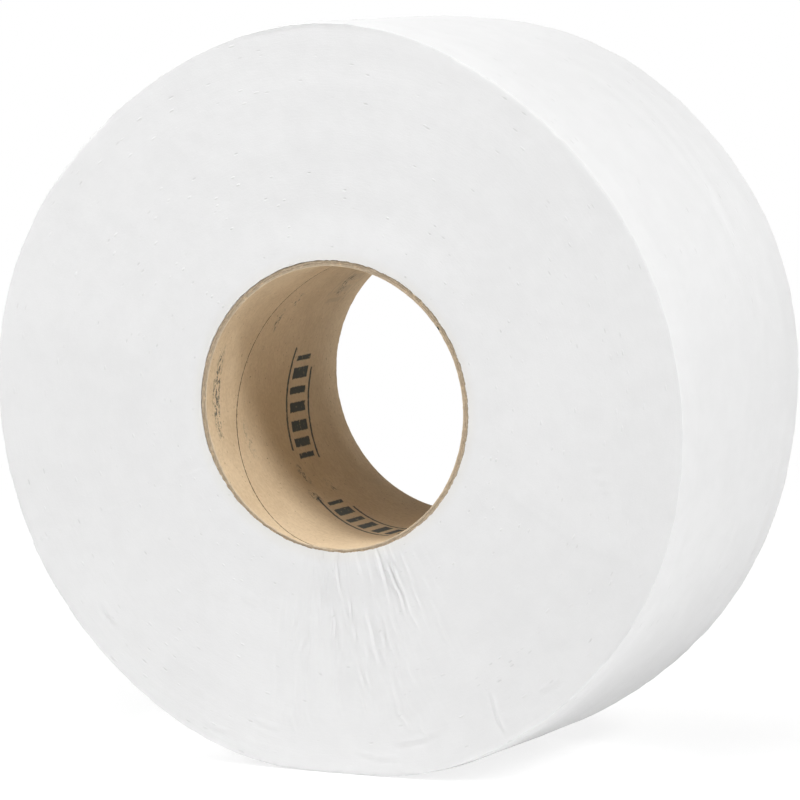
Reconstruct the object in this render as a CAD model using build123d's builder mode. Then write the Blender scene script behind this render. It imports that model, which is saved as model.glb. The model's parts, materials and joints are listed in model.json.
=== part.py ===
"""Jumbo toilet paper roll: a wound tissue web on a spiral-wound cardboard core.

The roll lies on its round side, with its axis along Y and the front face at -Y. Z is up from the
small flat spot that the soft paper presses into the floor, and the origin is in its middle.
"""

from build123d import *
from math import cos, radians, sin, sqrt
import os

# Driving sizes, in millimetres and degrees. Angles are seen from the front, from +X towards +Z.
core_bore_diameter = 76.0  # fits the usual 3 inch spindle
core_wall = 1.6
roll_diameter = 202.0
roll_width = 81.0

sheet_thickness = 0.25  # two embossed plies
tail_angle = 205.0  # where the loose end of the web lies, at the lower left
flat_spot_width = 36.0

rim_taper_length = 9.0  # the outer turns draw in a little towards each cut face
rim_taper_drop = 0.4

turn_band_count = 4  # groups of turns that stand back from the cut faces
turn_band_relief = 0.15

seam_pitch = 88.0  # advance of the inner ply's butt joint in one turn
seam_width = 0.4
seam_depth = 0.35
seam_front_angle = 260.0  # where the joint meets the front end
seam_overrun = 2.0  # the cut starts and stops this far outside the core

# Sizes that follow from the driving ones
roll_radius = roll_diameter / 2
bore_radius = core_bore_diameter / 2
core_radius = bore_radius + core_wall
half_width = roll_width / 2
axis_height = sqrt(roll_radius**2 - (flat_spot_width / 2) ** 2)
turn_band_width = (roll_radius - rim_taper_drop - core_radius) / (2 * turn_band_count + 1)

mid_plane = Plane.XZ
front_plane = Plane.XZ.offset(half_width)
back_plane = Plane(origin=(0, half_width, 0), x_dir=(-1, 0, 0), z_dir=(0, 1, 0))
axis_point = (0, axis_height)
roll_axis = Axis((0, 0, axis_height), (0, -1, 0))


def wound_section(outer_radius, offset):
    """The roll's outline, this far in front of the mid plane.

    Four quarter arcs lose one sheet in a turn, and the step of the loose end closes them.
    """
    quarter_turn = 90
    quarter_loss = sheet_thickness / 4
    with BuildSketch(mid_plane.offset(offset)) as section:
        with BuildLine():
            centre = Vector(*axis_point)
            arcs = []
            for quarter in range(4):
                start_angle = tail_angle + quarter_turn * quarter
                radius = outer_radius - quarter_loss * quarter
                arcs.append(CenterArc(centre, radius, start_angle, quarter_turn))
                end_angle = radians(start_angle + quarter_turn)
                centre += Vector(cos(end_angle), sin(end_angle)) * quarter_loss
            Line(arcs[-1] @ 1, arcs[0] @ 0)
        make_face()
    return section.sketch


# The wound web, as one solid
with BuildPart() as tissue_paper:
    straight_half = half_width - rim_taper_length
    extrude(wound_section(roll_radius, 0), amount=straight_half, both=True)

    # The outer turns draw in towards both cut faces.
    for side in (1, -1):
        shoulder = wound_section(roll_radius, side * straight_half)
        rim = wound_section(roll_radius - rim_taper_drop, side * half_width)
        loft([shoulder, rim], ruled=True)

    # The flat spot on the floor
    split(bisect_by=Plane.XY, keep=Keep.TOP)

    # The seat of the core
    with BuildSketch(mid_plane):
        with Locations(axis_point):
            Circle(core_radius)
    extrude(amount=half_width, both=True, mode=Mode.SUBTRACT)

    # Bands of turns that stand back from the faces
    for band in range(turn_band_count):
        band_inner = core_radius + turn_band_width * (2 * band + 1)
        with BuildSketch(front_plane, back_plane):
            with Locations(axis_point):
                Circle(band_inner + turn_band_width)
                Circle(band_inner, mode=Mode.SUBTRACT)
        extrude(amount=-turn_band_relief, mode=Mode.SUBTRACT)

# The cardboard tube
with BuildPart() as cardboard_core:
    with BuildSketch(mid_plane):
        with Locations(axis_point):
            Circle(core_radius)
            Circle(bore_radius, mode=Mode.SUBTRACT)
    extrude(amount=half_width, both=True)

    # The butt joint of its inner ply, a right-hand helix from end to end
    seam_start_angle = seam_front_angle + 360 * seam_overrun / seam_pitch
    with BuildLine() as seam:
        # A helix along +Y starts straight above the axis, at 90 degrees.
        unturned_seam = Helix(
            pitch=seam_pitch,
            height=roll_width + 2 * seam_overrun,
            radius=bore_radius,
            center=(0, -half_width - seam_overrun, axis_height),
            direction=(0, 1, 0),
            mode=Mode.PRIVATE,
        )
        add(unturned_seam.rotate(roll_axis, seam_start_angle - 90))
    outwards = (cos(radians(seam_start_angle)), 0, sin(radians(seam_start_angle)))
    with BuildSketch(Plane(seam.line @ 0, outwards, seam.line % 0)):
        Rectangle(2 * seam_depth, seam_width)
    sweep(path=seam.line, is_frenet=True, mode=Mode.SUBTRACT)

tissue_paper.part.label = "tissue_paper"
cardboard_core.part.label = "cardboard_core"

os.makedirs("parts", exist_ok=True)
export_step(tissue_paper.part, "parts/tissue_paper.step")
export_step(cardboard_core.part, "parts/cardboard_core.step")
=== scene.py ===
"""Dresses the jumbo toilet paper roll: the wound tissue, its cardboard core, the studio and the camera.

Both pieces are meshed anew around the frame's axis, in millimetres, and turned into metres when
their meshes are made. Angles are seen from the front, from +X towards +Z. Depth runs from the
front face to the back face.
"""

import json
import logging
import math
from dataclasses import dataclass, field
from enum import Enum
from functools import reduce
from typing import Any, Optional, Sequence, Union

import bpy
import numpy as np
from mathutils import Matrix, Vector


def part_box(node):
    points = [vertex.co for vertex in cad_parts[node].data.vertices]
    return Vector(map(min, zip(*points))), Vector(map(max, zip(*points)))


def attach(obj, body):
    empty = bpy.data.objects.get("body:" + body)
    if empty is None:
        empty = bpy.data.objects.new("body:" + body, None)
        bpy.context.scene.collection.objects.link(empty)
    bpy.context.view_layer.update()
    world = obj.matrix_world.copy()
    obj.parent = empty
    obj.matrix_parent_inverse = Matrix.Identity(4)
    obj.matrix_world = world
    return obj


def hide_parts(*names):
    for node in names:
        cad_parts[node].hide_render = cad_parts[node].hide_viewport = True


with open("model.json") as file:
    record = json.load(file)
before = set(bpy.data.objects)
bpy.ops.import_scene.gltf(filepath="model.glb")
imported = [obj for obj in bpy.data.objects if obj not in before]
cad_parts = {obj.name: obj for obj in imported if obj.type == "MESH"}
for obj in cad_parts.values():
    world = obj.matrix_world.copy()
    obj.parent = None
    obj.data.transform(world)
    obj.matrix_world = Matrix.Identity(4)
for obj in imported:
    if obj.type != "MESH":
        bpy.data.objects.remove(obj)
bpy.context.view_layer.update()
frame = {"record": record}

log = logging.getLogger("roll")

MM = 0.001
FULL_TURN = 2 * math.pi
WHITE = (1.0, 1.0, 1.0, 1.0)

Colour = tuple[float, float, float]
Array = np.ndarray
Numbers = Union[float, Array]


# Shader maths


@dataclass(frozen=True)
class Term:
    """A socket on which Python's operators add Math nodes."""

    bench: "Bench"
    socket: bpy.types.NodeSocket

    def __add__(self, other: "Value") -> "Term":
        """Self plus other."""
        return self.bench.maths("ADD", self, other)

    def __radd__(self, other: "Value") -> "Term":
        """Other plus self."""
        return self.bench.maths("ADD", other, self)

    def __sub__(self, other: "Value") -> "Term":
        """Self minus other."""
        return self.bench.maths("SUBTRACT", self, other)

    def __rsub__(self, other: "Value") -> "Term":
        """Other minus self."""
        return self.bench.maths("SUBTRACT", other, self)

    def __mul__(self, other: "Value") -> "Term":
        """Self times other."""
        return self.bench.maths("MULTIPLY", self, other)

    def __rmul__(self, other: "Value") -> "Term":
        """Other times self."""
        return self.bench.maths("MULTIPLY", other, self)

    def __truediv__(self, other: "Value") -> "Term":
        """Self over other."""
        return self.bench.maths("DIVIDE", self, other)

    def __rtruediv__(self, other: "Value") -> "Term":
        """Other over self."""
        return self.bench.maths("DIVIDE", other, self)

    def __abs__(self) -> "Term":
        """The size of self."""
        return self.bench.maths("ABSOLUTE", self)


Value = Union[Term, float]


@dataclass(frozen=True)
class Placed:
    """A node whose outputs are read by name or place."""

    bench: "Bench"
    node: bpy.types.Node

    def out(self, name: Union[str, int] = 0) -> Term:
        """The output of that name or place."""
        return Term(self.bench, self.node.outputs[name])


class Bench:
    """A material or world being made, with its nodes and the expressions on them."""

    def __init__(self, owner: Union[bpy.types.Material, bpy.types.World]) -> None:
        """Starts from an empty tree.

        Args:
            owner: The material or world to make.
        """
        self.owner = owner
        owner.use_nodes = True
        self.tree = owner.node_tree
        self.tree.nodes.clear()

    @classmethod
    def material(cls, name: str) -> "Bench":
        """Starts a new material of that name."""
        return cls(bpy.data.materials.new(name))

    def add(self, kind: str, settings: Optional[dict[str, Any]] = None,
            inputs: Optional[dict[Union[str, int], Any]] = None) -> Placed:
        """Adds a node.

        Args:
            kind: The node's type, without the ShaderNode prefix.
            settings: Properties of the node, which are set first.
            inputs: Values or terms for its input sockets, by name or place.

        Returns:
            The placed node.
        """
        node = self.tree.nodes.new("ShaderNode" + kind)
        for key, value in (settings or {}).items():
            setattr(node, key, value)
        for key, value in (inputs or {}).items():
            if isinstance(value, Term):
                self.tree.links.new(value.socket, node.inputs[key])
            else:
                node.inputs[key].default_value = value
        return Placed(self, node)

    def maths(self, operation: str, *values: Value) -> Term:
        """One Math node.

        Args:
            operation: The node's operation.
            values: Its values or terms, in order.

        Returns:
            The result.
        """
        return self.add("Math", {"operation": operation}, dict(enumerate(values))).out()

    def vector(self, x: Value, y: Value, z: Value) -> Term:
        """A vector of three terms."""
        return self.add("CombineXYZ", inputs={"X": x, "Y": y, "Z": z}).out()

    def strongest(self, masks: Sequence[Term]) -> Term:
        """The largest of several masks."""
        return reduce(lambda first, second: self.maths("MAXIMUM", first, second), masks)

    def off_whole(self, value: Term) -> Term:
        """How far a value lies from the nearest whole number, from minus a half to a half."""
        return self.maths("FRACT", value + 0.5) - 0.5

    def ease(self, value: Term, low: float, high: float) -> Term:
        """A smooth step.

        Args:
            value: What steps.
            low: Where the result is 0.
            high: Where the result is 1.

        Returns:
            The step, from 0 to 1.
        """
        inputs = {"Value": value, "From Min": min(low, high), "From Max": max(low, high)}
        step = self.add("MapRange", {"interpolation_type": "SMOOTHSTEP"}, inputs).out()
        return step if low < high else 1.0 - step

    def noise(self, place: Term, detail: float = 2.0, roughness: float = 0.5) -> Term:
        """Noise from 0 to 1, with one feature in each unit of the place.

        Args:
            place: The vector that the noise is read at.
            detail: How many finer layers it has.
            roughness: How strong they are.

        Returns:
            The noise.
        """
        inputs = {"Vector": place, "Scale": 1.0, "Detail": detail, "Roughness": roughness}
        return self.add("TexNoise", {"noise_dimensions": "3D"}, inputs).out()

    def blend(self, share: Value, first: Union[Term, Colour], second: Union[Term, Colour]) -> Term:
        """A mix of two colours.

        Args:
            share: 0 for the first, 1 for the second.
            first: A colour.
            second: Another colour.

        Returns:
            The mixed colour.
        """
        shades = [shade if isinstance(shade, Term) else (*shade, 1.0) for shade in (first, second)]
        settings = {"data_type": "RGBA", "clamp_factor": True}
        return self.add("Mix", settings, {0: share, 6: shades[0], 7: shades[1]}).out(2)

    def white(self, strength: float, kind: str = "Emission") -> Term:
        """White light of that strength, as an Emission or a Background."""
        return self.add(kind, inputs={"Color": WHITE, "Strength": strength}).out()

    def shade(self, share: Term, first: Term, second: Term) -> Term:
        """A mix of two shaders: the first where the share is 0, the second where it is 1."""
        return self.add("MixShader", inputs={0: share, 1: first, 2: second}).out()

    def matt(self, colour: Term, roughness: float, specular: float, height: Term) -> bpy.types.Material:
        """Finishes a matt material.

        Args:
            colour: Its base colour.
            roughness: Its roughness.
            specular: Its specular level.
            height: Its fine relief, in millimetres.

        Returns:
            The material.
        """
        bump = self.add("Bump", inputs={"Strength": 1.0, "Distance": 1.0, "Height": height * MM})
        shader = self.add("BsdfPrincipled", inputs={
            "Base Color": colour,
            "Roughness": roughness,
            "Specular IOR Level": specular,
            "Normal": bump.out(),
        })
        return self.finish(shader.out())

    def finish(self, shader: Term) -> Union[bpy.types.Material, bpy.types.World]:
        """Links the shader to the output.

        Args:
            shader: The shader.

        Returns:
            The material or world.
        """
        output = "OutputWorld" if isinstance(self.owner, bpy.types.World) else "OutputMaterial"
        self.add(output, inputs={"Surface": shader})
        return self.owner


# Relief and meshes


class SmoothField:
    """A seeded random relief of unit strength, which repeats at its edges."""

    def __init__(self, random: np.random.Generator, cells: tuple[int, int],
                 grain: tuple[float, float]) -> None:
        """Draws the relief.

        Args:
            random: The source of chance.
            cells: Rows and columns of the grid.
            grain: The size of a feature, in cells, along both.
        """
        rows = np.fft.fftfreq(cells[0])[:, None] * grain[0]
        columns = np.fft.fftfreq(cells[1])[None, :] * grain[1]
        damping = np.exp(-2 * math.pi**2 * (rows**2 + columns**2))
        values = np.fft.ifft2(np.fft.fft2(random.standard_normal(cells)) * damping).real
        self.values = values / values.std()

    def at(self, row: Numbers, column: Numbers) -> Numbers:
        """The relief at shares of the grid's height and width.

        Args:
            row: Shares of the height; whole numbers repeat.
            column: Shares of the width.

        Returns:
            The relief, read between its cells.
        """
        row, column = np.broadcast_arrays(row, column)
        rows, columns = self.values.shape
        row = (row % 1.0) * rows
        column = (column % 1.0) * columns
        top, left = np.floor(row).astype(int), np.floor(column).astype(int)
        down, across = row - top, column - left
        top, left = top % rows, left % columns
        below, beside = (top + 1) % rows, (left + 1) % columns
        upper = self.values[top, left] * (1 - across) + self.values[top, beside] * across
        lower = self.values[below, left] * (1 - across) + self.values[below, beside] * across
        return upper * (1 - down) + lower * down


def smooth_step(value: Array, low: float, high: float) -> Array:
    """A smooth step from 0 at low to 1 at high."""
    share = np.clip((value - low) / (high - low), 0, 1)
    return share * share * (3 - 2 * share)


def bell(value: Array, width: float) -> Array:
    """A bell that is 1 at 0 and about a third at its width."""
    return np.exp(-((value / width) ** 2))


def angle_from(angle: Array, start: float) -> Array:
    """How far each angle, in radians, is turned from a start in degrees, up to half a turn either way."""
    return (angle - math.radians(start) + math.pi) % FULL_TURN - math.pi


def arc_bell(angle: Array, middle: float, reach: float) -> Array:
    """A bell round the axis, with its middle and its width in degrees."""
    return bell(angle_from(angle, middle), math.radians(reach))


def into_scene(name: str, data: bpy.types.ID) -> bpy.types.Object:
    """Puts a new object into the scene.

    Args:
        name: Its name.
        data: Its mesh, light or camera.

    Returns:
        The object.
    """
    made = bpy.data.objects.new(name, data)
    bpy.context.scene.collection.objects.link(made)
    return made


def closed_mesh(name: str, points: Array, crease: float) -> bpy.types.Object:
    """Makes a ring-shaped solid from a grid of points that closes both ways.

    Args:
        name: The piece's name.
        points: Loops by columns by three coordinates, in millimetres.
        crease: The angle above which an edge stays sharp, in degrees.

    Returns:
        The new object.
    """
    loops, columns, _ = points.shape
    grid = np.arange(loops * columns).reshape(loops, columns)
    beside = np.roll(grid, -1, axis=1)
    ahead = np.roll(grid, -1, axis=0)
    corner = np.roll(beside, -1, axis=0)
    quads = np.stack([grid, ahead, corner, beside], axis=-1).reshape(-1, 4)
    flat = points.reshape(-1, 3)
    first, second, third, fourth = np.moveaxis(flat[quads] - flat.mean(axis=0), 1, 0)
    volume = (first * (np.cross(second, third) + np.cross(third, fourth))).sum()
    if volume < 0:
        quads = quads[:, ::-1]
    mesh = bpy.data.meshes.new(name)
    mesh.vertices.add(len(flat))
    mesh.vertices.foreach_set("co", (flat * MM).astype(np.float32).ravel())
    mesh.loops.add(quads.size)
    mesh.loops.foreach_set("vertex_index", quads.astype(np.int32).ravel())
    mesh.polygons.add(len(quads))
    mesh.polygons.foreach_set("loop_start", np.arange(0, quads.size, 4, dtype=np.int32))
    mesh.update(calc_edges=True)
    mesh.validate()
    mesh.shade_smooth()
    mesh.set_sharp_from_angle(angle=math.radians(crease))
    return into_scene(name, mesh)


@dataclass(frozen=True)
class RollFrame:
    """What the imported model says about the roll, in millimetres."""

    bore_radius: float
    core_radius: float
    roll_radius: float
    width: float
    axis_height: float

    @classmethod
    def read(cls) -> "RollFrame":
        """Reads the sizes from the frame's nodes and its bore.

        Returns:
            The sizes.
        """
        core_low, core_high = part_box("cardboard_core")
        paper_low, paper_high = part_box("tissue_paper")
        bore = next(mount for mount in frame["record"]["mounts"] if mount["name"] == "core_bore")
        height = bore["pos_m"][2] / MM
        return cls(
            bore_radius=bore["dims"]["r_mm"],
            core_radius=(core_high.x - core_low.x) / 2 / MM,
            roll_radius=paper_high.z / MM - height,
            width=(paper_high.y - paper_low.y) / MM,
            axis_height=height,
        )

    @property
    def front(self) -> float:
        """Where the front face lies along Y."""
        return -self.width / 2

    def place(self, angle: Array, radius: Numbers, depth: Numbers) -> Array:
        """Turns angle, radius and depth into points of the row frame.

        Args:
            angle: Points' angles round the axis.
            radius: Their radii.
            depth: Their depths behind the front face.

        Returns:
            The points, in millimetres.
        """
        angle, radius, depth = np.broadcast_arrays(angle, radius, depth)
        x = radius * np.cos(angle)
        z = radius * np.sin(angle) + self.axis_height
        return np.stack([x, depth + self.front, z], axis=-1)


# The wound tissue


@dataclass(frozen=True)
class Lobe:
    """One way in which the soft roll is out of round, by its count of lobes and their two heights."""

    count: int
    across: float
    upright: float

    def swell(self, angle: Array) -> Array:
        """The change of radius."""
        return self.across * np.cos(self.count * angle) + self.upright * np.sin(self.count * angle)


@dataclass(frozen=True)
class Bulge:
    """A broad swelling or flattening that grows towards the back rim. The angles are in degrees."""

    angle: float
    reach: float
    height: float

    def swell(self, angle: Array, share: Array) -> Array:
        """The change of radius, at shares of the roll's width."""
        return self.height * share * arc_bell(angle, self.angle, self.reach)


@dataclass(frozen=True)
class Crease:
    """A short dent in the cut face, with a raised lip beside it. Points are X and Z from the axis."""

    start: tuple[float, float]
    end: tuple[float, float]
    height: float = 0.22
    width: float = 0.55

    def relief(self, x: Array, z: Array) -> Array:
        """The crease's height at points of the face.

        Args:
            x: Points' X from the axis.
            z: Their Z from the axis.

        Returns:
            The height.
        """
        span = np.array(self.end) - np.array(self.start)
        length = float(np.hypot(*span))
        along, aside = span / length, np.array([-span[1], span[0]]) / length
        from_start = np.stack([x - self.start[0], z - self.start[1]], axis=-1)
        run = from_start @ along / length
        offset = (from_start @ aside + 0.05 * length * np.sin(run * math.pi)) / self.width
        fade = smooth_step(run, -0.12, 0.2) * (1 - smooth_step(run, 0.75, 1.12))
        return self.height * fade * (bell(offset - 0.8, 0.9) - bell(offset + 0.5, 0.7))


@dataclass(frozen=True)
class FaceFold:
    """A soft radial crest across the cut face, with its own slope on either side."""

    angle: float
    height: float
    upper_reach: float
    lower_reach: float
    from_radius: float
    to_radius: float
    swing: float = 0.0

    def relief(self, angle: Array, radius: Array) -> Array:
        """The fold's height at points of the face.

        Args:
            angle: Points' angles round the axis.
            radius: Their radii.

        Returns:
            The height.
        """
        sway = 1.2 * np.sin(radius / 7.0) + self.swing * (radius - self.from_radius)
        offset = radius * np.sin(angle_from(angle, self.angle)) - sway
        offset = np.where(np.abs(angle_from(angle, self.angle)) < math.pi / 2, offset, 1e3)
        reach = np.where(offset > 0, self.upper_reach, self.lower_reach)
        grow = smooth_step(radius, self.from_radius - 4, self.from_radius + 14)
        fade = 1 - smooth_step(radius, self.to_radius - 6, self.to_radius + 4)
        return self.height * grow * fade * np.exp(-np.sqrt((offset / reach) ** 2 + 0.01))


@dataclass(frozen=True)
class Fan:
    """Ridges on the cut face: their first and last slope, their number and size, and their reach."""

    first: float
    last: float
    count: int
    height: float
    width: float
    starts_at: float
    ends_at: float

    def cover(self, spread: Array, reach: Array) -> Array:
        """Where the ridges show, from 0 to 1.

        Args:
            spread: Points' slopes from the source.
            reach: Their distances below it.

        Returns:
            How much they show.
        """
        sides = smooth_step(spread, self.first - 0.02, self.first + 0.18)
        sides = sides * (1 - smooth_step(spread, self.last - 0.16, self.last + 0.02))
        return sides * smooth_step(reach, self.starts_at - 12, self.starts_at + 4)


@dataclass(frozen=True)
class SideCrease:
    """A long shallow pinch in the outer turns, at this depth, which drifts as it goes round."""

    depth: float
    drift: float
    middle: float
    reach: float
    height: float
    width: float

    def relief(self, angle: Array, depth: Array) -> Array:
        """The crease's height on the round side.

        Args:
            angle: Points' angles round the axis.
            depth: Their depths behind the front face.

        Returns:
            The height.
        """
        turn = angle_from(angle, self.middle)
        line = self.depth + self.drift * turn + 0.5 * np.sin(11 * turn)
        reach = math.radians(self.reach)
        fade = 1 - smooth_step(np.abs(turn), 0.45 * reach, reach)
        offset = (depth - line) / self.width
        crest = bell(offset - 0.8, np.where(offset > 0.8, 2.2, 0.9))
        return self.height * fade * (crest - 0.7 * bell(offset + 0.8, 0.8))


@dataclass
class WoundTissue:
    """The wound web of tissue: two cut faces, the round side, the loose end and the core's seat."""

    sizes: RollFrame
    columns: int = 480
    fan_columns: int = 380
    fan_sector: tuple[float, float] = (-125.0, -38.0)
    front_rings: int = 28
    rim_rings: int = 24
    rim_rings_from: float = 0.70
    back_rings: int = 14
    seat_rows: int = 2
    seat_inset: float = 0.6
    corner_rings: Sequence[float] = (0.25, 0.62, 1.3, 2.6)
    band_rings: Sequence[float] = (1.4, 4.0, 6.6, 8.6, 9.7, 11.2)
    middle_rings: tuple[float, float, int] = (14.5, 40.0, 8)
    pinched_rings: tuple[float, float, int] = (42.0, 62.4, 15)
    last_rings: Sequence[float] = (64.8, 67.4)

    sheet: float = 0.25
    loose_end: float = 205.0
    loose_end_lift: float = 0.30
    loose_end_flutter: float = 0.125
    loose_end_reach: float = 5.0
    loose_end_waver: float = 1.6
    loose_end_waver_reach: float = 9.0

    belly: float = 0.65
    floor_reach: float = 25.0
    floor_soft: float = 1.0
    floor_settle: float = 0.14
    rim_band: float = 9.3
    rim_band_sway: float = 0.7
    rim_band_drop: float = 0.62
    rim_kink_soft: float = 0.002
    rim_kink_crest: float = 0.05
    rim_kink_width: float = 0.9
    rim_waver: float = 0.06
    rim_waver_reach: float = 2.0
    rim_round: float = 0.12

    roof_drop: float = 1.9
    roof_round: float = 12.0
    roof_slant: float = math.radians(18.0)
    roof_starts_over: float = 16.0
    rim_setback: float = 1.5
    rim_setback_angle: float = -50.0
    rim_setback_reach: float = 58.0
    rim_setback_from: float = 66.0
    rim_setback_run: float = 35.0

    wave: float = 0.10
    wave_span: float = 260.0
    face_wave: float = 0.06
    face_wave_span: float = 320.0
    side_grain: float = 0.018
    face_grain: float = 0.014
    grain_span: float = 210.0
    side_streak: float = 0.010
    face_streak: float = 0.008
    streak_span: float = 64.0
    ring_height: float = 0.03
    ring_pitch: float = 13.6

    fan_source: tuple[float, float] = (-12.7, 48.5)
    fans: Sequence[Fan] = (
        Fan(-0.01, 0.47, 14, 0.32, 0.52, 84.0, 124.0),
        Fan(-0.09, 0.36, 17, 0.24, 0.52, 106.0, 140.0),
    )

    lip_over_core: float = 0.9
    lip_angle: float = -105.0
    lip_reach: float = 48.0
    inner_edge_gap: float = 0.05
    inner_edge_fray: tuple[float, float] = (0.06, 0.05)
    back_edge_fray: float = 0.12
    hem_width: float = 0.1
    hem_depth: float = 0.12
    face_rise: float = 0.02

    lobes: Sequence[Lobe] = (
        Lobe(1, -0.61, -0.18),
        Lobe(2, -0.41, -0.66),
        Lobe(3, 0.11, -0.27),
        Lobe(4, 0.70, -0.22),
        Lobe(5, -0.05, 0.01),
        Lobe(6, -0.22, -0.05),
    )
    bulges: Sequence[Bulge] = (
        Bulge(-15.0, 30.0, -1.1),
        Bulge(25.0, 26.0, 3.3),
        Bulge(58.0, 26.0, 2.4),
        Bulge(92.0, 20.0, -3.5),
    )
    folds: Sequence[FaceFold] = (
        FaceFold(168.5, 0.42, 20.0, 11.0, 46.0, 101.0),
        FaceFold(-22.5, 0.22, 7.0, 3.2, 44.0, 92.0, swing=-0.02),
        FaceFold(-34.0, 0.12, 10.0, 5.0, 52.0, 88.0),
    )
    creases: Sequence[Crease] = (
        Crease((45.6, -74.6), (48.8, -84.4), 0.24, 0.7),
        Crease((17.0, -90.2), (30.5, -86.2), 0.22, 0.65),
        Crease((-25.0, -86.6), (-17.0, -89.0), 0.18, 0.65),
        Crease((-40.0, -88.6), (-33.0, -91.0), 0.14, 0.65),
        Crease((76.0, -9.0), (80.2, -20.4), 0.22, 0.65),
        Crease((6.0, -93.6), (19.0, -94.4), 0.18, 0.65),
        Crease((-27.5, -52.5), (-20.5, -55.0), 0.2, 0.7),
        Crease((-71.0, -58.0), (-66.5, -63.5), 0.24, 0.7),
        Crease((60.0, -73.0), (66.0, -69.0), 0.2, 0.7),
    )
    side_creases: Sequence[SideCrease] = (
        SideCrease(52.8, -9.0, 43.0, 27.0, 0.14, 1.9),
        SideCrease(58.0, 14.0, 40.0, 17.0, 0.12, 1.7),
        SideCrease(56.9, 16.0, 11.5, 8.0, 0.13, 1.1),
        SideCrease(47.2, 11.0, -25.0, 11.0, 0.12, 0.8),
        SideCrease(66.0, -4.0, 30.0, 26.0, 0.08, 1.4),
        SideCrease(30.0, -1.5, 120.0, 50.0, 0.12, 1.2),
        SideCrease(52.0, 2.5, 200.0, 45.0, 0.14, 1.2),
    )
    random: np.random.Generator = field(default_factory=lambda: np.random.default_rng(41))

    def build(self) -> bpy.types.Object:
        """Meshes the roll as one closed surface.

        Returns:
            The tissue's object.
        """
        self.grain = SmoothField(self.random, (512, 512), (4.0, 4.0))
        self.soft = SmoothField(self.random, (512, 512), (22.0, 22.0))
        self.streaks = SmoothField(self.random, (256, 1024), (1.6, 11.0))
        self.ruffle = SmoothField(self.random, (64, 1024), (6.0, 2.2))
        angles = self.column_angles()
        loops = [
            self.front_face(angles),
            self.round_side(angles),
            self.back_face(angles),
            self.seat(angles),
        ]
        points = np.concatenate(loops)
        points[..., 2] = np.maximum(points[..., 2], 0.0)
        return closed_mesh("wound_tissue", points, crease=38.0)

    def column_angles(self) -> Array:
        """The columns' angles, from the loose end round to it again, closer where the fan is.

        Returns:
            The angles.
        """
        step_gap = 1e-4
        start = math.radians(self.loose_end)
        first, last = (math.radians(bound + 360) for bound in self.fan_sector)
        end = start + FULL_TURN
        before = round(self.columns * (first - start) / (first - start + end - last))
        return np.concatenate([
            np.linspace(start + step_gap, first, before, endpoint=False),
            np.linspace(first, last, self.fan_columns, endpoint=False),
            np.linspace(last, end - step_gap, self.columns - before),
        ])

    def outer_radius(self, angle: Array, depth: Numbers) -> Array:
        """The round side: out of round, wound in, flat on the floor and drawn in at both rims.

        Args:
            angle: Angles round the axis.
            depth: Depths behind the front face.

        Returns:
            The radius at each.
        """
        sizes = self.sizes
        angle, depth = np.broadcast_arrays(angle, depth)
        shape = sum(lobe.swell(angle) for lobe in self.lobes)
        shape = shape + sum(bulge.swell(angle, depth / sizes.width) for bulge in self.bulges)
        off_floor = 1 - arc_bell(angle, -90.0, self.floor_reach)
        radius = sizes.roll_radius + (self.belly + shape) * off_floor
        turned = angle_from(angle, self.loose_end) % FULL_TURN
        radius = radius + self.sheet * (0.5 - turned / FULL_TURN)
        lift = self.loose_end_lift + self.loose_end_flutter * self.soft.at(depth / 60, 0.3)
        radius = radius + lift * bell(turned * sizes.roll_radius, self.loose_end_reach)

        to_rim = np.minimum(depth, sizes.width - depth)
        lap = angle / FULL_TURN
        band = self.rim_band + self.rim_band_sway * self.soft.at(0.15, lap)
        inside = (band - to_rim) / self.rim_band
        radius = radius - self.rim_band_drop * 0.5 * (inside + np.sqrt(inside**2 + self.rim_kink_soft))
        radius = radius + self.rim_kink_crest * bell(to_rim - band, self.rim_kink_width)
        frill = self.rim_waver * self.ruffle.at(depth / 200, lap)
        radius = radius + frill * bell(to_rim, self.rim_waver_reach)

        for crease in self.side_creases:
            radius = radius + crease.relief(angle, depth)
        radius = radius + self.wave * self.soft.at(lap, depth / self.wave_span)
        radius = radius + self.side_grain * self.grain.at(lap * 3, depth / self.grain_span)
        radius = radius + self.side_streak * self.streaks.at(depth / sizes.width, lap)
        down = np.maximum(-np.sin(angle), 1e-6)
        to_floor = np.where(np.sin(angle) < -0.2, sizes.axis_height / down, 1e3)
        spare = to_floor - radius
        return radius + 0.5 * (spare - np.sqrt(spare**2 + self.floor_soft**2)) + self.floor_settle

    def waver(self, angle: Array, depth: Numbers) -> Array:
        """How far the columns swing near the loose end, so that it runs unevenly across the roll.

        Args:
            angle: Points' angles round the axis.
            depth: Their depths behind the front face.

        Returns:
            The swing, in radians.
        """
        near = arc_bell(angle, self.loose_end, self.loose_end_waver_reach)
        swing = self.soft.at(depth / 95, 0.7) + 0.35 * self.grain.at(depth / 60, 0.2)
        return near * swing * self.loose_end_waver / self.sizes.roll_radius

    def face_relief(self, angle: Array, radius: Array) -> Array:
        """What both cut faces have: the turns' small differences and the paper's own unevenness.

        Args:
            angle: Points' angles round the axis.
            radius: Their radii.

        Returns:
            The relief.
        """
        x, z = radius * np.cos(angle), radius * np.sin(angle)
        lap = angle / FULL_TURN
        height = self.face_streak * self.streaks.at(radius / self.streak_span + lap / 250, lap)
        height = height + self.face_grain * self.grain.at(x / self.grain_span, z / self.grain_span)
        waves = self.soft.at(x / self.face_wave_span + 0.4, z / self.face_wave_span)
        rings = np.sin(radius * FULL_TURN / self.ring_pitch) * (1 + 0.3 * np.sin(angle))
        return height + self.face_wave * waves + self.ring_height * rings

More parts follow.
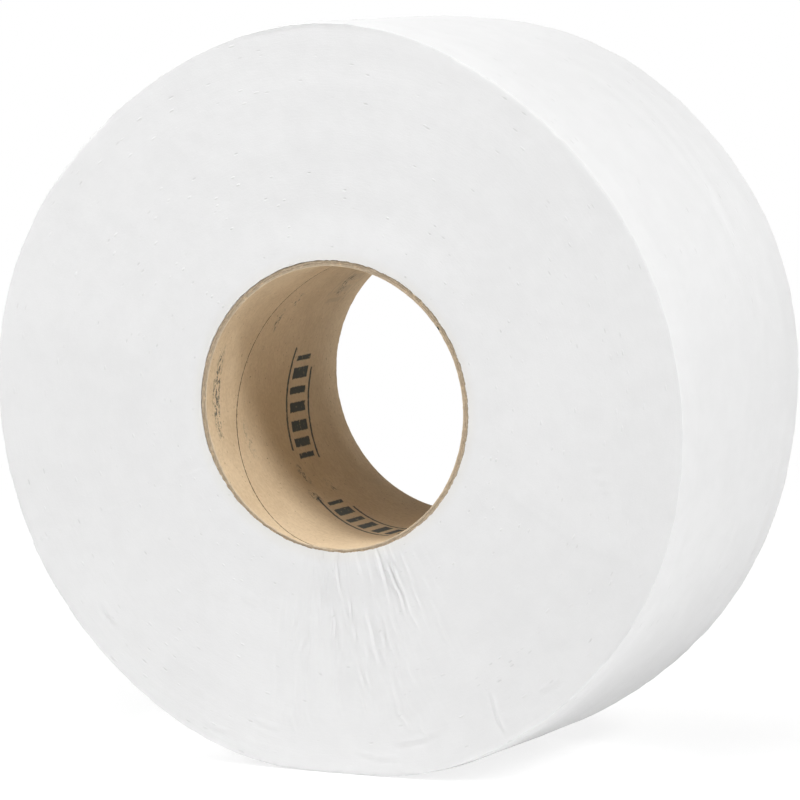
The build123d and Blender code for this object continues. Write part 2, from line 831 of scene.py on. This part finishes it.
    def pinches(self, fan: Fan, x: Array, z: Array) -> Array:
        """Ridges that spread downwards from the core, where the roll was squeezed.

        Args:
            fan: Where they run and how strong they are.
            x: Points' X from the axis.
            z: Their Z from the axis.

        Returns:
            The ridges' height.
        """
        reach = self.fan_source[1] - z
        spread = (x - self.fan_source[0]) / np.maximum(reach, 1.0)
        height = np.zeros_like(x)
        pitch = (fan.last - fan.first) / fan.count
        for index in range(fan.count):
            middle = fan.first + pitch * (index + 0.5 + self.random.uniform(-0.18, 0.18))
            sway = 0.004 * self.soft.at(reach / 190, index * 0.137)
            sway = sway + 0.0046 * self.grain.at(reach / 140, index * 0.311)
            offset = (spread - middle - sway) * reach
            broken = self.soft.at(reach / 70 + 0.5, index * 0.219)
            strength = np.clip(0.85 + 0.45 * broken, 0.3, 1.5) * self.random.uniform(0.75, 1.15)
            ends = fan.ends_at + self.random.uniform(-16, 6)
            strength = strength * (1 - smooth_step(reach, ends - 12, ends))
            width = fan.width * self.random.uniform(0.8, 1.2)
            ridge = bell(offset, width) - 0.6 * bell(offset - 1.7 * width, 0.8 * width)
            height = height + strength * ridge
        return fan.height * height * fan.cover(spread, reach)

    def setback(self, angle: Array, radius: Array) -> Array:
        """How far the front face falls back: above and below its crest, and towards its right rim.

        Args:
            angle: Points' angles round the axis.
            radius: Their radii.

        Returns:
            The distance.
        """
        core_radius, roll_radius = self.sizes.core_radius, self.sizes.roll_radius
        from_crest = radius * np.sin(angle + self.roof_slant)
        roof = self.roof_drop / roll_radius * (np.hypot(from_crest, self.roof_round) - self.roof_round)
        roof = roof * smooth_step(radius, core_radius, core_radius + self.roof_starts_over)
        right_side = arc_bell(angle, self.rim_setback_angle, self.rim_setback_reach)
        outwards = np.clip((radius - self.rim_setback_from) / self.rim_setback_run, 0, 1) ** 1.6
        return roof + self.rim_setback * right_side * outwards

    def front_relief(self, angle: Array, radius: Array) -> Array:
        """How far the front face stands out, with all that the photographed face shows.

        Args:
            angle: Points' angles round the axis.
            radius: Their radii.

        Returns:
            The relief.
        """
        x, z = radius * np.cos(angle), radius * np.sin(angle)
        height = self.face_relief(angle, radius)
        for fan in self.fans:
            height = height + self.pinches(fan, x, z)
        for fold in self.folds:
            height = height + fold.relief(angle, radius)
        for crease in self.creases:
            height = height + crease.relief(x, z)
        return height

    def front_face(self, angles: Array) -> Array:
        """The front cut face, from the core outwards.

        Args:
            angles: The columns' angles.

        Returns:
            Its loops of points.
        """
        sizes = self.sizes
        angle = angles[None, :]
        lip = self.lip_over_core * arc_bell(angle, self.lip_angle, self.lip_reach)
        lap = angle / FULL_TURN
        coarse, fine = self.inner_edge_fray
        fray = coarse * self.ruffle.at(0.3, lap) + fine * self.ruffle.at(0.6, lap * 3)
        inner = sizes.core_radius - lip + fray + self.inner_edge_gap
        outer = self.outer_radius(angle, 0.0) - self.rim_round
        share = np.linspace(0, self.rim_rings_from, self.front_rings, endpoint=False)
        share = np.concatenate([share, np.linspace(self.rim_rings_from, 1, self.rim_rings)])[:, None]
        radius = inner + share * (outer - inner)
        shifted = angle + self.waver(angle, 0.0) * share
        relief = self.front_relief(shifted, radius)
        height = relief * smooth_step(share, 0.0, 0.03) * (1 - smooth_step(share, 0.985, 1.0))
        depth = self.setback(shifted, radius) - height - self.face_rise
        rounded = sizes.place(shifted, radius, depth)
        hem = sizes.place(angle, inner + self.hem_width, self.hem_depth)
        return np.concatenate([hem, rounded])

    def round_side(self, angles: Array) -> Array:
        """The round side, with a soft corner at each rim.

        Args:
            angles: The columns' angles.

        Returns:
            Its loops of points.
        """
        sizes = self.sizes
        near_rim = np.array([ring * self.rim_round for ring in self.corner_rings] + list(self.band_rings))
        spans = [np.linspace(*rings) for rings in (self.middle_rings, self.pinched_rings)]
        depth = np.concatenate([near_rim, *spans, self.last_rings, sizes.width - near_rim[::-1]])[:, None]
        angle = angles[None, :] + self.waver(angles[None, :], depth)
        radius = self.outer_radius(angle, depth)
        to_rim = np.minimum(depth, sizes.width - depth)
        rounding = self.rim_round * np.clip(1 - to_rim / self.rim_round, 0, 1) ** 2
        set_back = self.setback(angle, radius) * np.clip(1 - depth / self.rim_band, 0, 1)
        return sizes.place(angle, radius - rounding, depth + set_back)

    def back_face(self, angles: Array) -> Array:
        """The back cut face, from the rim inwards.

        Args:
            angles: The columns' angles.

        Returns:
            Its loops of points.
        """
        sizes = self.sizes
        angle = angles[None, :]
        outer = self.outer_radius(angle, sizes.width) - self.rim_round
        inner = sizes.core_radius + self.back_edge_fray * self.ruffle.at(0.8, angle / FULL_TURN)
        share = np.linspace(1, 0, self.back_rings)[:, None]
        radius = inner + share * (outer - inner)
        shifted = angle + self.waver(angle, sizes.width) * share
        relief = self.face_relief(-shifted, radius)
        height = relief * smooth_step(share, 0.0, 0.06) * (1 - smooth_step(share, 0.96, 1.0))
        return sizes.place(shifted, radius, sizes.width + self.face_rise + height)

    def seat(self, angles: Array) -> Array:
        """The hidden wall that the core sits in, from the back to the front.

        Args:
            angles: The columns' angles.

        Returns:
            Its loops of points.
        """
        sizes = self.sizes
        depth = np.linspace(sizes.width - self.seat_inset, self.seat_inset, self.seat_rows)[:, None]
        return sizes.place(angles[None, :], sizes.core_radius, depth)


# The cardboard core


@dataclass
class SpiralCore:
    """The cardboard tube: two plies at its ends, frayed edges and the butt joint of its inner ply."""

    sizes: RollFrame
    columns: int = 420
    inner_rows: int = 82
    outer_rows: int = 42

    seam_pitch: float = 88.0
    seam_front_angle: float = 260.0
    seam_width: float = 0.34
    seam_depth: float = 0.3
    raised_edge: float = 0.05
    raised_edge_over: float = 1.2
    raised_edge_reach: float = 1.4
    bore_wave: float = 0.05

    end_recess: float = 0.2
    ply_line_width: float = 0.14
    ply_line_depth: float = 0.16
    edge_round: float = 0.12
    fray: float = 0.09
    end_wander: float = 0.05
    outer_play: float = 0.04
    random: np.random.Generator = field(default_factory=lambda: np.random.default_rng(7))

    @property
    def lead(self) -> float:
        """The slope of the wound strip, in radians."""
        return math.atan(self.seam_pitch / (FULL_TURN * self.sizes.bore_radius))

    def lean(self, depth: Numbers) -> Numbers:
        """How far the inner ply has turned at a depth, in radians."""
        return -depth / self.seam_pitch * FULL_TURN

    def build(self) -> bpy.types.Object:
        """Meshes the tube as one closed surface whose columns follow the ply.

        Returns:
            The core's object.
        """
        self.burrs = SmoothField(self.random, (32, 1024), (3.0, 1.5))
        self.waves = SmoothField(self.random, (64, 512), (9.0, 9.0))
        half_seam = self.seam_width / 2 / self.sizes.bore_radius
        turn = np.linspace(half_seam, FULL_TURN - half_seam, self.columns - 4)
        lips = np.array([-1.0, -0.45, 0.45, 1.0]) * half_seam
        turn = np.concatenate([turn, FULL_TURN + lips * 0.98])
        self.in_seam = np.abs(angle_from(turn, 0.0)) < 0.7 * half_seam
        angles = math.radians(self.seam_front_angle) + turn
        points = np.concatenate([
            self.inner_wall(angles),
            self.end_face(angles, back=True),
            self.outer_wall(angles),
            self.end_face(angles, back=False)[::-1],
        ])
        return closed_mesh("spiral_core", points, crease=40.0)

    def inner_wall(self, angles: Array) -> Array:
        """The bore, from the front to the back, with the groove of the butt joint.

        Args:
            angles: The columns' angles at the front.

        Returns:
            Its loops of points.
        """
        sizes = self.sizes
        ends = self.end_recess + self.edge_round
        depth = np.linspace(ends, sizes.width - ends, self.inner_rows)[:, None]
        angle = angles[None, :] + self.lean(depth)
        radius = sizes.bore_radius + self.bore_wave * self.waves.at(depth / 160, angle / FULL_TURN)
        radius = radius + self.seam_depth * self.in_seam[None, :]
        past_joint = self.seam_front_angle + self.raised_edge_over
        raised = self.raised_edge * arc_bell(angles, past_joint, self.raised_edge_reach)
        return sizes.place(angle, radius - raised[None, :], depth)

    def outer_wall(self, angles: Array) -> Array:
        """The outside, from the back to the front. The tissue covers it.

        Args:
            angles: The columns' angles at the front.

        Returns:
            Its loops of points.
        """
        sizes = self.sizes
        ends = self.end_recess + self.edge_round
        depth = np.linspace(sizes.width - ends, ends, self.outer_rows)[:, None]
        outside = sizes.core_radius - self.outer_play
        return sizes.place(angles[None, :] + self.lean(depth), outside, depth)

    def end_face(self, angles: Array, back: bool) -> Array:
        """One cut end, from the bore outwards.

        Args:
            angles: The columns' angles at the front.
            back: True for the back end.

        Returns:
            Its loops of points.
        """
        sizes = self.sizes
        bore, outside = sizes.bore_radius, sizes.core_radius - self.outer_play
        ply_line = (bore + outside) / 2
        steps = [
            (bore + self.edge_round * 0.3, 0.3),
            (bore + self.edge_round, 0.0),
            ((bore + ply_line) / 2, -0.25),
            (ply_line - self.ply_line_width, 0.0),
            (ply_line, self.ply_line_depth / self.edge_round),
            (ply_line + self.ply_line_width, 0.0),
            ((outside + ply_line) / 2, -0.2),
            (outside - self.edge_round, 0.0),
            (outside - self.edge_round * 0.3, 0.4),
        ]
        radius, sink = np.array(steps).T[:, :, None]
        level = sizes.width if back else 0.0
        angle = angles[None, :] + self.lean(level)
        lap = angle / FULL_TURN
        row = radius / 3 + (0.5 if back else 0.0)
        from_end = self.end_recess + sink * self.edge_round - self.fray * self.burrs.at(row, lap)
        wander = self.end_wander * self.burrs.at(row + 0.4, lap) * (np.abs(radius - ply_line) < 0.3)
        depth = level - from_end if back else from_end
        groove = self.seam_depth * self.in_seam[None, :] * (radius < bore + 0.2)
        return sizes.place(angle, radius + wander + groove * 0.5, depth)


# Finishes


@dataclass(frozen=True)
class RollPlaces:
    """Where a point of the roll is, as terms of a material, in millimetres and radians."""

    bench: Bench
    x: Term
    z: Term
    radius: Term
    depth: Term
    across: Term
    upright: Term
    angle: Term
    place: Term

    @classmethod
    def read(cls, bench: Bench, sizes: RollFrame) -> "RollPlaces":
        """Adds the nodes that find the point.

        Args:
            bench: The material's bench.
            sizes: The roll's sizes.

        Returns:
            The terms.
        """
        point = bench.add("TexCoord").out("Object")
        parts = bench.add("SeparateXYZ", inputs={0: point})
        x = parts.out("X") * (1 / MM)
        depth = parts.out("Y") * (1 / MM) - sizes.front
        z = parts.out("Z") * (1 / MM) - sizes.axis_height
        radius = bench.maths("SQRT", x * x + z * z)
        angle = bench.maths("ARCTAN2", z, x)
        place = bench.vector(x, depth, z)
        return cls(bench, x, z, radius, depth, x / radius, z / radius, angle, place)

    def turned(self, start: float) -> Term:
        """The share of a turn from a start in degrees."""
        return (self.angle - math.radians(start)) * (1 / FULL_TURN)

    def wound(self, reach: float, level: Term) -> Term:
        """A vector that runs round the roll, this far from its axis, and without a seam."""
        return self.bench.vector(self.across * reach, self.upright * reach, level)

    def noise(self, grain: float, detail: float) -> Term:
        """Noise on the roll.

        Args:
            grain: The width of a feature, in millimetres.
            detail: How many finer layers it has.

        Returns:
            The noise, from 0 to 1.
        """
        inputs = {0: self.place, "Scale": 1 / grain}
        place = self.bench.add("VectorMath", {"operation": "SCALE"}, inputs).out()
        return self.bench.noise(place, detail, 0.55)


@dataclass(frozen=True)
class TissueFinish:
    """Bleached recycled tissue: matt, a little uneven, with fine fibres and a few dark specks."""

    paper: Colour = (0.866, 0.866, 0.866)
    shaded_paper: Colour = (0.846, 0.846, 0.846)
    speck: Colour = (0.66, 0.66, 0.65)
    near_core_colour: Colour = (0.80, 0.77, 0.70)
    roughness: float = 0.95
    specular: float = 0.12
    streak_length: float = 3.2
    streak_width: float = 0.42
    speck_length: float = 4.0
    speck_width: float = 1.7
    speck_reach: float = 0.20
    mark_strength: float = 0.35
    measured_at: float = 0.7

    def dress(self, sizes: RollFrame) -> bpy.types.Material:
        """Makes the material.

        Args:
            sizes: The roll's sizes.

        Returns:
            The material.
        """
        bench = Bench.material("tissue")
        at = RollPlaces.read(bench, sizes)
        around = sizes.roll_radius * self.measured_at
        outwards = at.radius + at.depth
        thread = at.wound(around / self.streak_length, outwards * (1 / self.streak_width))
        streaks = bench.noise(thread, 2.0, 0.55)
        fibre, mottle, cloud = at.noise(0.5, 3.0), at.noise(7.0, 2.0), at.noise(38.0, 1.0)

        grid = at.wound(around / self.speck_length, outwards * (1 / self.speck_width))
        settings = {"feature": "F1", "voronoi_dimensions": "3D"}
        cells = bench.add("TexVoronoi", settings, {"Vector": grid, "Scale": 1.0})
        kind = bench.add("SeparateColor", inputs={0: cells.out("Color")})
        dot = bench.ease(cells.out("Distance"), self.speck_reach, 0.35 * self.speck_reach)
        specks = dot * bench.ease(kind.out(0), 0.80, 0.90)
        tufts = dot * bench.ease(kind.out(1), 0.70, 0.80)

        shade = bench.ease(streaks * 0.2 + mottle * 0.45 + cloud * 0.35, 0.38, 0.62)
        colour = bench.blend(shade, self.shaded_paper, self.paper)
        # Within a few millimetres of the core the tissue is blended towards a darker, yellowish grey.
        near_core = bench.ease(at.radius, sizes.core_radius + 3.5, sizes.core_radius - 0.5)
        colour = bench.blend(near_core * self.mark_strength, colour, self.near_core_colour)
        colour = bench.blend(specks * self.mark_strength, colour, self.speck)
        height = streaks * 0.02 + fibre * 0.03 + mottle * 0.10 + tufts * 0.09 - specks * 0.08
        return bench.matt(colour, self.roughness, self.specular, height)


class Stroke(Enum):
    """What the ink leaves on the board."""

    BAR = "bar"
    RULE = "rule"


@dataclass(frozen=True)
class InkBar:
    """One slanted bar or thin rule of the print, in millimetres along and across the board's strip."""

    along: float
    across: float
    length: float
    height: float
    stroke: Stroke = Stroke.BAR
    slant: float = 0.35
    soft_edge: float = 0.22

    def mask(self, bench: Bench, along: Term, across: Term, wobble: Term) -> Term:
        """Where the bar is inked, from 0 to 1.

        Args:
            bench: The material's bench.
            along: Where the point lies along the strip.
            across: Where it lies across the strip.
            wobble: The unevenness of the ink's edges.

        Returns:
            How much ink there is.
        """
        slant = self.slant if self.stroke is Stroke.BAR else 0.0
        above = across - self.across
        beside = along - self.along - above * slant
        inked = [
            bench.ease(abs(offset + wobble), size / 2 + self.soft_edge, size / 2 - self.soft_edge)
            for offset, size in ((beside, self.length), (above, self.height))
        ]
        return inked[0] * inked[1]


@dataclass(frozen=True)
class Smudge:
    """A faint scratchy trace of ink: its angle in degrees, depth, half sizes and strength."""

    angle: float
    depth: float
    half_length: float
    half_height: float
    strength: float


@dataclass(frozen=True)
class BoardFinish:
    """Unbleached kraft board with fibres, smudges and a plain bar print that repeats along the strip."""

    board: Colour = (0.750, 0.600, 0.412)
    dark_board: Colour = (0.642, 0.498, 0.328)
    cut_edge: Colour = (0.47, 0.375, 0.270)
    pale_edge: Colour = (0.68, 0.55, 0.39)
    fleck: Colour = (0.20, 0.13, 0.075)
    ink: Colour = (0.044, 0.066, 0.072)
    joint: Colour = (0.12, 0.08, 0.05)
    roughness: float = 0.85
    specular: float = 0.12
    fibre_length: float = 3.5
    fibre_width: float = 0.6
    end_reaches: tuple[float, float] = (0.34, 0.40)

    print_angle: float = 193.0
    print_depth: float = 54.0
    print_spacing: float = 66.0
    print_fades_from: float = 0.46
    print_gone_by: float = 0.60
    print_left: float = 0.12
    most_ink: float = 0.93
    bars: Sequence[InkBar] = (
        InkBar(-13.6, 0.3, 1.6, 8.2),
        InkBar(-9.6, 0.0, 2.6, 8.6),
        InkBar(-4.6, 0.2, 3.1, 9.0),
        InkBar(0.8, 0.0, 2.8, 8.8),
        InkBar(5.6, -0.2, 2.0, 9.0),
        InkBar(10.6, 0.0, 3.2, 8.6),
        InkBar(15.0, 0.1, 1.4, 8.0),
        InkBar(0.4, 6.4, 27.0, 0.9, Stroke.RULE),
        InkBar(1.2, -6.4, 30.0, 0.9, Stroke.RULE),
    )
    smudges: Sequence[Smudge] = (
        Smudge(178.0, 6.0, 15.0, 2.6, 0.85),
        Smudge(151.0, 34.6, 4.5, 1.6, 0.8),
        Smudge(141.0, 39.4, 3.0, 1.6, 0.6),
        Smudge(137.0, 65.5, 5.0, 3.0, 0.7),
        Smudge(-139.5, 41.0, 4.0, 2.2, 0.6),
        Smudge(-127.7, 37.0, 3.2, 2.4, 0.7),
        Smudge(-131.6, 50.0, 3.0, 2.0, 0.5),
        Smudge(-160.0, 21.0, 7.0, 2.0, 0.35),
    )

    def dress(self, core: SpiralCore) -> bpy.types.Material:
        """Makes the material.

        Args:
            core: The tube that it covers.

        Returns:
            The material.
        """
        sizes = core.sizes
        bench = Bench.material("kraft_board")
        at = RollPlaces.read(bench, sizes)
        fine, broad = at.noise(0.9, 4.0), at.noise(11.0, 3.0)
        level = at.depth * (math.cos(core.lead) / self.fibre_width)
        flow = bench.noise(at.wound(sizes.bore_radius / self.fibre_length, level), 3.0, 0.6)
        shade = bench.ease(fine * 0.4 + broad * 0.35 + flow * 0.25, 0.36, 0.64)
        colour = bench.blend(shade, self.dark_board, self.board)
        flecks = bench.ease(at.noise(0.8, 1.0), 0.71, 0.76)
        colour = bench.blend(flecks * 0.55, colour, self.fleck)

        laps = at.turned(core.seam_front_angle) + at.depth * (1 / core.seam_pitch)
        seam = abs(bench.off_whole(laps)) * (FULL_TURN * sizes.bore_radius)
        ragged = seam + (fine - 0.5) * 0.9 + (broad - 0.5) * 0.4
        colour = bench.blend(bench.ease(ragged, 0.60, 0.25) * 0.92, colour, self.joint)

        on_bore = bench.ease(at.radius, sizes.bore_radius + 0.5, sizes.bore_radius + 0.36)
        ink = self.print_mask(at, core, laps) + self.smudge_mask(at, sizes)
        holes = bench.ease(fine * 0.5 + flow * 0.5, 0.30, 0.45)
        ink = bench.maths("MINIMUM", ink * holes, self.most_ink) * on_bore
        colour = bench.blend(ink, colour, self.ink)

        cut = bench.ease(at.radius, sizes.bore_radius + 0.08, sizes.bore_radius + 0.3)
        edge = bench.blend(cut, self.pale_edge, self.cut_edge)
        edge = bench.blend(bench.ease(fine, 0.45, 0.7) * 0.5, edge, self.pale_edge)
        off_end = [bench.ease(reach, *self.end_reaches) for reach in (at.depth, sizes.width - at.depth)]
        colour = bench.blend(1.0 - off_end[0] * off_end[1], colour, edge)

        height = fine * 0.05 + flow * 0.05 + broad * 0.12
        return bench.matt(colour, self.roughness, self.specular, height)

    def print_mask(self, at: RollPlaces, core: SpiralCore, laps: Term) -> Term:
        """The plain bar print, which repeats along the strip.

        Args:
            at: Where the point is.
            core: The tube.
            laps: The laps of the strip up to the point. It is a whole number at the butt joint.

        Returns:
            How much ink there is, from 0 to 1.
        """
        bench = at.bench
        radius = core.sizes.bore_radius
        slope, level = math.sin(core.lead), math.cos(core.lead)
        turned = at.turned(self.print_angle) - bench.maths("FLOOR", laps)
        around = turned * (FULL_TURN * radius)
        forward = at.depth - self.print_depth
        along = forward * slope - around * level
        across = around * slope + forward * level
        step = math.radians(self.print_spacing) * radius / level
        repeated = bench.off_whole(along * (1 / step)) * step
        wobble = (at.noise(1.3, 2.0) - 0.5) * 0.6
        inked = bench.strongest([bar.mask(bench, repeated, across, wobble) for bar in self.bars])
        worn = bench.ease(along, self.print_gone_by * step, self.print_fades_from * step)
        return inked * (worn * (1 - self.print_left) + self.print_left)

    def smudge_mask(self, at: RollPlaces, sizes: RollFrame) -> Term:
        """All faint traces of ink, broken up into scratches.

        Args:
            at: Where the point is.
            sizes: The roll's sizes.

        Returns:
            How much ink there is, from 0 to 1.
        """
        bench = at.bench
        scratches = bench.noise(bench.vector(at.x * 0.9, at.z * 0.55, at.depth * 1.1), 4.0, 0.72)
        masks = []
        for smudge in self.smudges:
            turned = bench.off_whole(at.turned(smudge.angle))
            around = turned * (FULL_TURN * sizes.bore_radius / smudge.half_length)
            level = (at.depth - smudge.depth) * (1 / smudge.half_height)
            masks.append(bench.ease(around * around + level * level, 1.0, 0.25) * smudge.strength)
        return bench.strongest(masks) * bench.ease(scratches, 0.49, 0.57)


# The studio


def towards(azimuth: float, elevation: float) -> Vector:
    """The direction from the roll to a place round it.

    Args:
        azimuth: Degrees to the right of straight in front.
        elevation: Degrees above the floor.

    Returns:
        The direction.
    """
    azimuth, elevation = math.radians(azimuth), math.radians(elevation)
    level = math.cos(elevation)
    return Vector((math.sin(azimuth) * level, -math.cos(azimuth) * level, math.sin(elevation)))


@dataclass(frozen=True)
class Lamp:
    """A soft square lamp that points at the roll: its side, its power and where it stands."""

    name: str
    azimuth: float
    elevation: float
    distance: float
    side: float
    power: float

    def hang(self, target: Vector) -> None:
        """Puts the lamp in the scene.

        Args:
            target: What it points at.
        """
        back = towards(self.azimuth, self.elevation)
        light = bpy.data.lights.new(self.name, "AREA")
        light.shape = "SQUARE"
        light.size = self.side
        light.energy = self.power
        lamp = into_scene(self.name, light)
        lamp.location = target + back * self.distance
        lamp.rotation_mode = "QUATERNION"
        lamp.rotation_quaternion = (-back).to_track_quat("-Z", "Y")


@dataclass
class Studio:
    """A plain pale floor, soft lamps, an even surround and the camera at the photograph's angle."""

    sizes: RollFrame
    floor_side: float = 40.0
    floor_colour: Colour = (0.89, 0.89, 0.89)
    floor_glow: float = 0.07
    shadow_share: float = 0.30
    floor_white: float = 0.80
    shadow_from: float = 0.2
    shadow_to: float = 0.6
    surround: float = 0.06
    lamps: Sequence[Lamp] = (
        Lamp("left_softbox", -70.0, 32.0, 1.25, 0.6, 8.6),
        Lamp("right_softbox", 63.0, 37.0, 2.40, 0.44, 26.0),
        Lamp("low_softbox", 96.0, 0.0, 1.25, 0.18, 2.05),
        Lamp("top_softbox", 10.0, 68.0, 0.95, 0.5, 4.1),
        Lamp("back_softbox", -175.0, 12.0, 1.5, 0.4, 4.6),
    )

    camera_azimuth: float = 25.23
    camera_elevation: float = 7.12
    lens: float = 292.5
    face_right: float = -17.83
    face_down: float = 2.14
    face_away: float = 1734.0

    def set_up(self) -> None:
        """Builds the whole studio."""
        self.lay_floor()
        self.light_surround()
        target = Vector((0.0, 0.0, self.sizes.axis_height * MM))
        for lamp in self.lamps:
            lamp.hang(target)
        self.place_camera()
        bpy.context.scene.view_settings.view_transform = "Standard"

    def lay_floor(self) -> None:
        """A floor that looks white to the camera and keeps the roll's shadow."""
        half = self.floor_side / 2
        corners = [(-half, -half, 0), (half, -half, 0), (half, half, 0), (-half, half, 0)]
        mesh = bpy.data.meshes.new("floor")
        mesh.from_pydata(corners, [], [(0, 1, 2, 3)])
        floor = into_scene("floor", mesh)
        bench = Bench.material("floor")
        place = bench.add("TexCoord").out("Object")
        reach = bench.add("VectorMath", {"operation": "LENGTH"}, {0: place}).out("Value")
        faded = bench.ease(reach, self.shadow_from, self.shadow_to)
        plain = self.glowing(bench, self.floor_colour, self.floor_glow)
        near = self.glowing(bench, (self.shadow_share,) * 3, self.floor_white)
        shown = bench.shade(faded, near, bench.white(1.0))
        mesh.materials.append(bench.finish(bench.shade(self.seen(bench), plain, shown)))

    @staticmethod
    def glowing(bench: Bench, colour: Colour, strength: float) -> Term:
        """A matt surface that also gives off white light of that strength."""
        matt = bench.add("BsdfDiffuse", inputs={"Color": (*colour, 1.0)}).out()
        return bench.add("AddShader", inputs={0: matt, 1: bench.white(strength)}).out()

    @staticmethod
    def seen(bench: Bench) -> Term:
        """1 for what the camera sees, directly, in a gloss or through glass."""
        path = bench.add("LightPath")
        rays = ("Is Camera Ray", "Is Glossy Ray", "Is Transmission Ray")
        return bench.strongest([path.out(ray) for ray in rays])

    def light_surround(self) -> None:
        """An even grey light from all around, which the camera sees as white."""
        world = bpy.data.worlds.new("surround")
        bpy.context.scene.world = world
        bench = Bench(world)
        even, shown = (bench.white(strength, "Background") for strength in (self.surround, 1.0))
        bench.finish(bench.shade(self.seen(bench), even, shown))

    def place_camera(self) -> None:
        """Puts the camera where the photograph's outlines say it stood."""
        forward = -towards(self.camera_azimuth, self.camera_elevation)
        right = forward.cross(Vector((0.0, 0.0, 1.0))).normalized()
        upwards = right.cross(forward)
        face_centre = Vector((0.0, self.sizes.front, self.sizes.axis_height))
        offset = right * self.face_right - upwards * self.face_down + forward * self.face_away
        data = bpy.data.cameras.new("camera")
        data.lens = self.lens
        data.clip_start, data.clip_end = 0.1, 100.0
        camera = into_scene("camera", data)
        turn = Matrix((right, upwards, -forward)).transposed().to_4x4()
        camera.matrix_world = Matrix.Translation((face_centre - offset) * MM) @ turn
        bpy.context.scene.camera = camera


def settle(piece: bpy.types.Object, material: bpy.types.Material, node: str) -> None:
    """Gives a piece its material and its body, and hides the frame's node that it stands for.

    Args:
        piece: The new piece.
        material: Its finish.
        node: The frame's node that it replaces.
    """
    piece.data.materials.append(material)
    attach(piece, "root")
    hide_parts(node)
    log.info("%s: %d faces", piece.name, len(piece.data.polygons))


def main() -> None:
    """Builds the pieces in order."""
    logging.basicConfig(level=logging.INFO, format="%(name)s: %(message)s")
    sizes = RollFrame.read()
    Studio(sizes).set_up()
    tissue = WoundTissue(sizes).build()
    settle(tissue, TissueFinish().dress(sizes), "tissue_paper")
    core = SpiralCore(sizes)
    settle(core.build(), BoardFinish().dress(core), "cardboard_core")


if __name__ == "__main__":
    main()
